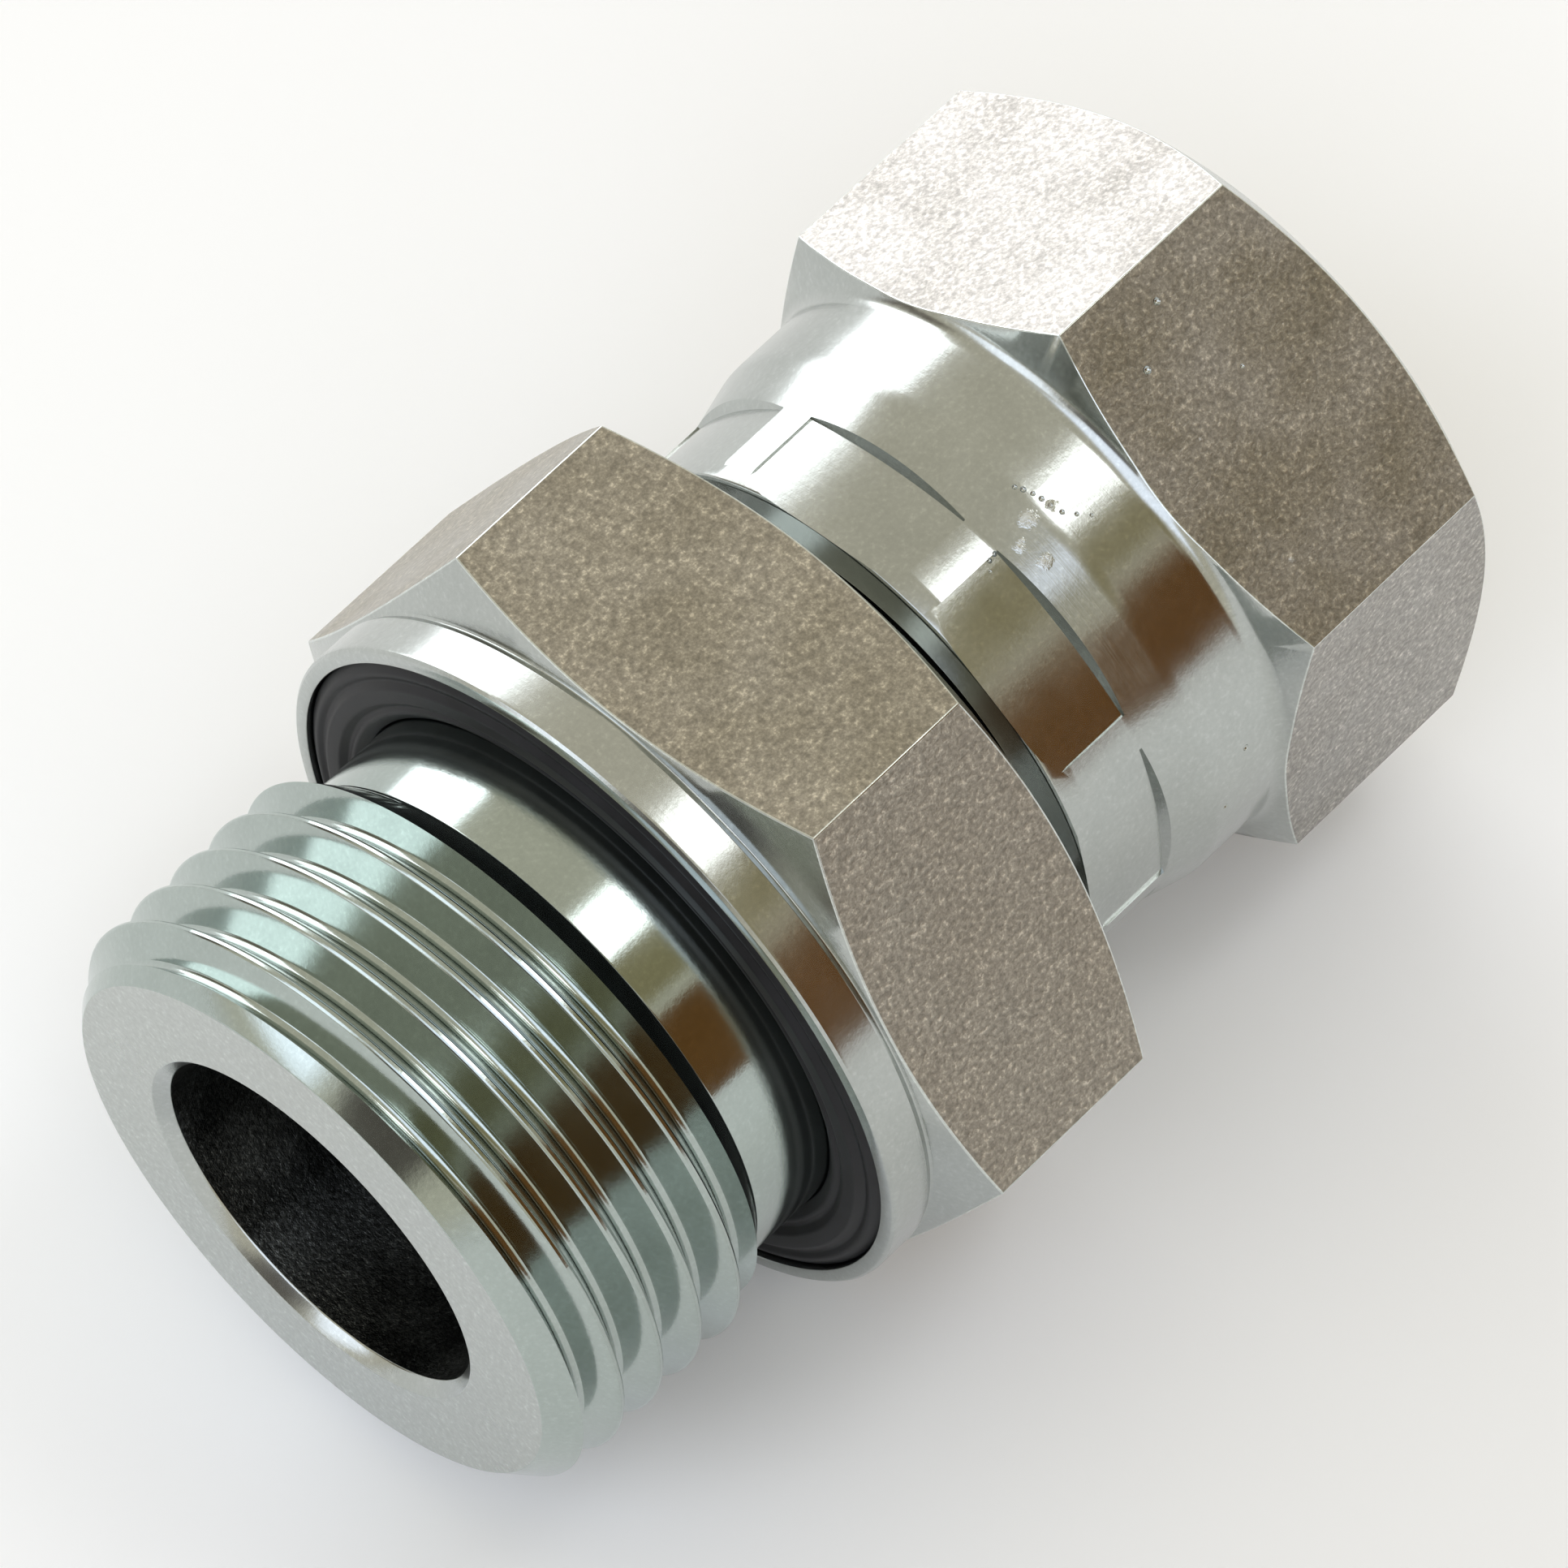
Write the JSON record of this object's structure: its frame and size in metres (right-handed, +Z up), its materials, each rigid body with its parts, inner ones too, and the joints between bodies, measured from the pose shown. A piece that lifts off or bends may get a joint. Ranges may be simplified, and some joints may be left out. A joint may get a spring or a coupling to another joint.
{
  "type": "straight hydraulic adapter",
  "caption": "Straight steel hydraulic adapter: a threaded stud with a captive face seal on one end, a body hexagon, and a crimped swivel nut on the other end.",
  "frame": {"origin": "on the surface that the fitting lies on, under the middle of its length, with the axis half the body's size across flats above it", "axes": "+X along the fitting's axis from the stud's open face to the nut's mouth, +Z up out of the body's top flat"},
  "size_m": [0.052, 0.0366, 0.0318],
  "materials": {
    "zinc_plated_body": "bright zinc plating over turned and sawn steel, satin",
    "black_elastomer": "smooth moulded rubber, slightly shiny",
    "zinc_plated_nut": "bright zinc plating over turned and crimped steel, satin"
  },
  "bodies": {
    "fitting": {"adapter_body": "zinc_plated_body", "stud_seal": "black_elastomer"},
    "nut": {"swivel_nut": "zinc_plated_nut"}
  },
  "joints": [
    {"name": "nut_spin", "type": "hinge", "parent": "fitting", "child": "nut", "pos_m": [0.012, 0, 0.01588], "axis": [1, 0, 0], "continuous": true}
  ]
}
